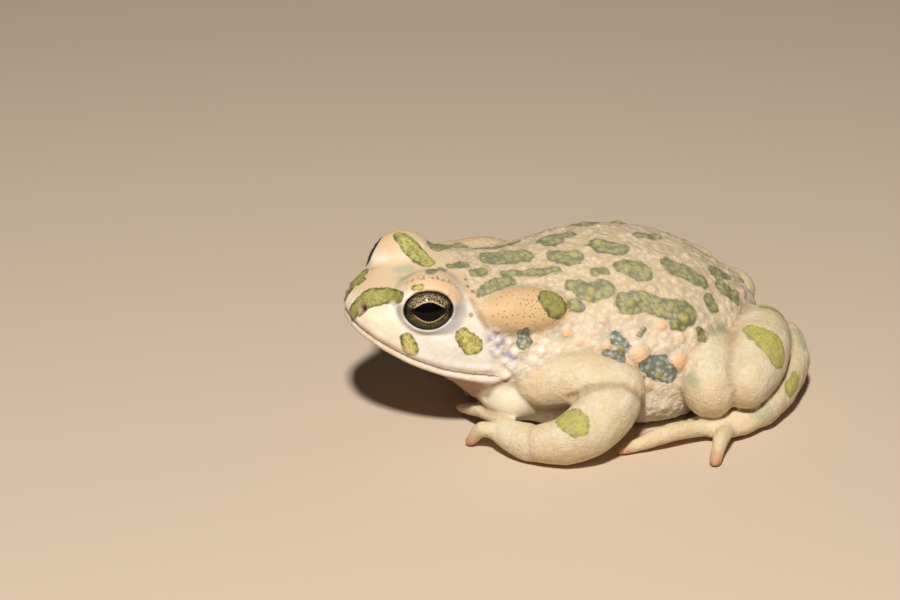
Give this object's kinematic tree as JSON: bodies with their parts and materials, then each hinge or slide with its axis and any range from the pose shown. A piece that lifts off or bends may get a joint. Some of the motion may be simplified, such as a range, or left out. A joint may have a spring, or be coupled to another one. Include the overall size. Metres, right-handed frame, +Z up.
{
  "type": "toad figure",
  "caption": "Life-size still toad model, sitting low with folded legs, warty back, parotoid glands and a wide mouth.",
  "frame": {"origin": "middle of the outer box, on the floor", "axes": "the toad faces -Y, +X is its left side, +Z is up"},
  "size_m": [0.0638, 0.0752, 0.0291],
  "materials": {
    "body_skin": "dry warty skin, cream with olive green patches",
    "limb_skin": "smooth cream yellow skin",
    "eye": "wet dark eye with fine gold specks"
  },
  "bodies": {
    "root": {"head": "body_skin", "torso": "body_skin", "upper_arm_left": "limb_skin", "forearm_left": "limb_skin", "hand_left": "limb_skin", "thigh_left": "limb_skin", "shank_left": "limb_skin", "tarsus_left": "limb_skin", "foot_left": "limb_skin", "upper_arm_right": "limb_skin", "forearm_right": "limb_skin", "hand_right": "limb_skin", "thigh_right": "limb_skin", "shank_right": "limb_skin", "tarsus_right": "limb_skin", "foot_right": "limb_skin", "eye_left": "eye", "eye_right": "eye"}
  },
  "joints": []
}
